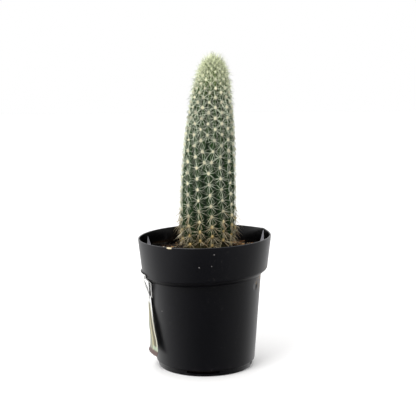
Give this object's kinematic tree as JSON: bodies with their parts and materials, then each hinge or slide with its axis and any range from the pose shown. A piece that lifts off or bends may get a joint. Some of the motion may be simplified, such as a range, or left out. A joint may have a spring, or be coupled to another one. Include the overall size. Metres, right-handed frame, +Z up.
{
  "type": "potted espostoa cactus",
  "caption": "Ribbed column cactus with woolly areoles and thin spines, standing in soil in a round black nursery pot with a plant label hung on its side.",
  "frame": {"origin": "centre of the pot's foot, on the surface that the pot stands on", "axes": "+Z up along the stem; -Y is the front, as in the picture; +X is to the right seen from the front"},
  "size_m": [0.1, 0.1, 0.2365],
  "materials": {
    "black_plastic": "satin black moulded plastic",
    "potting_mix": "dark crumbly potting mix of peat and bark",
    "green_skin": "dull dark green skin under pale wool and spines",
    "label_plastic": "thin printed plastic sheet"
  },
  "bodies": {
    "root": {"pot": "black_plastic", "soil": "potting_mix", "cactus": "green_skin", "label": "label_plastic"}
  },
  "joints": []
}
